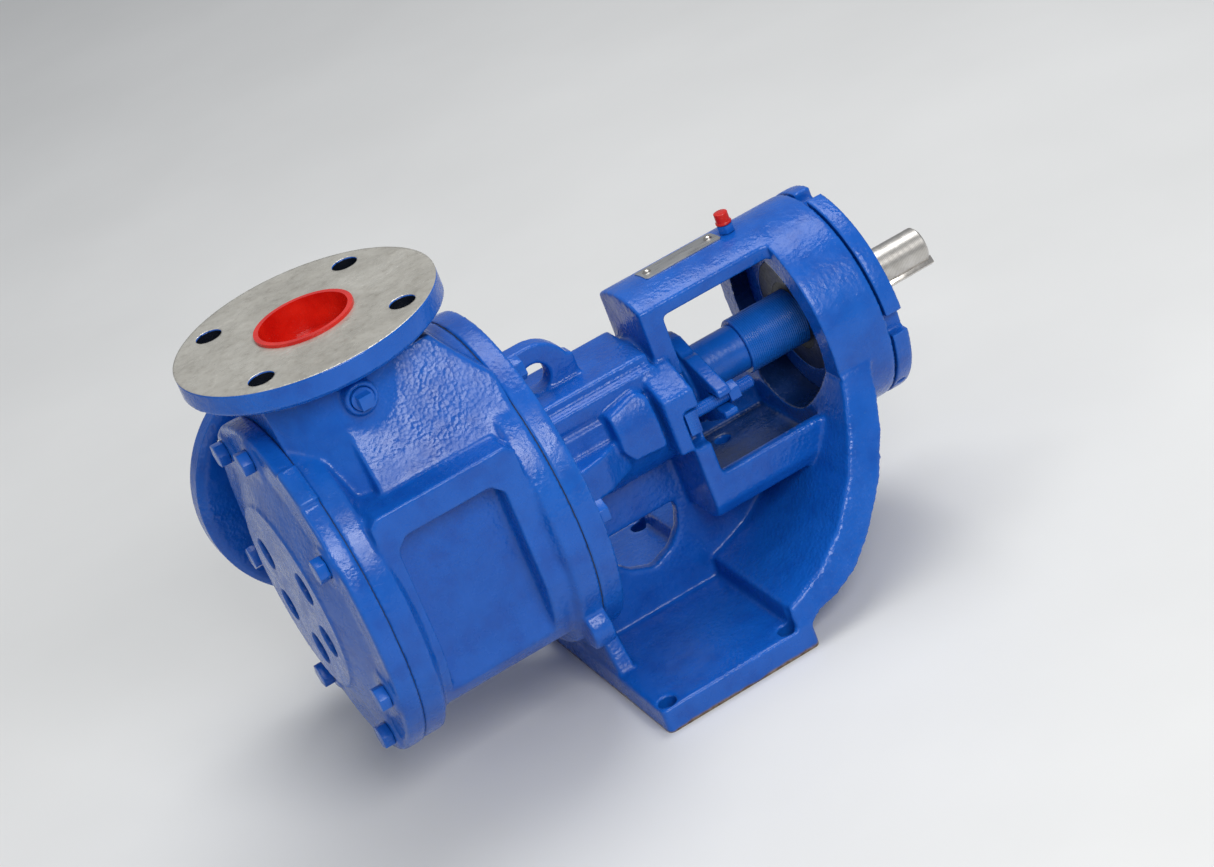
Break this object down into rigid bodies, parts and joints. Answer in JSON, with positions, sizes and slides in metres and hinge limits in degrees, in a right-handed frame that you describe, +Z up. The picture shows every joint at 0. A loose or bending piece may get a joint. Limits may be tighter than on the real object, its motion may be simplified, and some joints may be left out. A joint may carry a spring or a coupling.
{
  "type": "internal gear pump",
  "caption": "Foot-mounted internal gear pump with flanged top and side ports, packed stuffing box in an open yoke, threaded bearing housing and keyed shaft end.",
  "frame": {"origin": "centre of the four foot bolt holes, on the foot's underside", "axes": "+X along the shaft from the pump head to the drive end, +Y towards the side port, +Z up towards the top port"},
  "size_m": [0.5433, 0.3112, 0.3542],
  "materials": {
    "blue_iron": "gloss enamel over sand casting",
    "blue_steel": "gloss enamel over machined steel",
    "bare_iron": "machined, bare",
    "steel": "turned and ground",
    "hard_steel": "ground and polished",
    "bronze": "machined bronze",
    "packing": "braided packing, greasy",
    "seal_rubber": "moulded",
    "gasket_fibre": "dark fibre sheet",
    "plate_steel": "plain bare sheet",
    "red_plastic": "glossy moulded"
  },
  "bodies": {
    "pump": {"bracket": "blue_iron", "casing": "blue_iron", "head": "blue_iron", "head_gasket": "gasket_fibre", "bracket_gasket": "gasket_fibre", "head_capscrews": "blue_steel", "bracket_capscrews": "blue_steel", "idler_pin": "hard_steel", "bracket_bushing": "bronze", "packing_washer": "steel", "packing_rings": "packing", "lantern_ring": "bronze", "gland_studs": "blue_steel", "nameplate": "plate_steel", "nameplate_screws": "steel", "grease_fitting": "blue_steel", "casing_pipe_plug": "blue_steel", "box_pipe_plug": "blue_steel"},
    "shaft_group": {"rotor": "bare_iron", "shaft": "steel", "shaft_key": "steel", "bearing_inner_race": "hard_steel", "bearing_spacer_inner": "steel", "lock_washer": "steel", "lock_nut": "steel"},
    "idler": {"idler_gear": "bare_iron", "idler_bushing": "bronze"},
    "ball_set": {"bearing_balls": "hard_steel", "bearing_cage": "bronze"},
    "housing": {"bearing_housing": "blue_iron", "housing_set_screws": "steel", "end_cap_inner": "blue_iron", "end_cap_outer": "blue_iron", "lip_seal_inner": "seal_rubber", "lip_seal_outer": "seal_rubber", "bearing_outer_race": "hard_steel"},
    "gland_group": {"gland": "blue_iron", "gland_nuts": "blue_steel"},
    "top_plug": {"top_port_plug": "red_plastic"},
    "side_plug": {"side_port_plug": "red_plastic"},
    "fitting_cap": {"grease_cap": "red_plastic"}
  },
  "joints": [
    {"name": "shaft_spin", "type": "hinge", "parent": "pump", "child": "shaft_group", "pos_m": [-0.15, 0, 0.172], "axis": [1, 0, 0], "continuous": true},
    {"name": "idler_spin", "type": "hinge", "parent": "pump", "child": "idler", "pos_m": [-0.15, 0, 0.19109], "axis": [1, 0, 0], "continuous": true},
    {"name": "ball_set_spin", "type": "hinge", "parent": "pump", "child": "ball_set", "pos_m": [-0.15, 0, 0.172], "axis": [1, 0, 0], "continuous": true},
    {"name": "housing_adjust", "type": "hinge", "parent": "pump", "child": "housing", "pos_m": [0.22, 0, 0.172], "axis": [1, 0, 0], "range_deg": [-45, 45]},
    {"name": "gland_slide", "type": "slide", "parent": "pump", "child": "gland_group", "axis": [1, 0, 0], "range_m": [0, 0.01]},
    {"name": "top_plug_lift", "type": "slide", "parent": "pump", "child": "top_plug", "axis": [0, 0, 1], "range_m": [0, 0.06]},
    {"name": "side_plug_pull", "type": "slide", "parent": "pump", "child": "side_plug", "axis": [0, 1, 0], "range_m": [0, 0.06]},
    {"name": "cap_pull", "type": "slide", "parent": "pump", "child": "fitting_cap", "axis": [0, 0, 1], "range_m": [0, 0.03]}
  ],
  "couplings": [
    {"joint": "idler_spin", "follows": "shaft_spin", "ratio": 1.375},
    {"joint": "ball_set_spin", "follows": "shaft_spin", "ratio": 0.422}
  ]
}
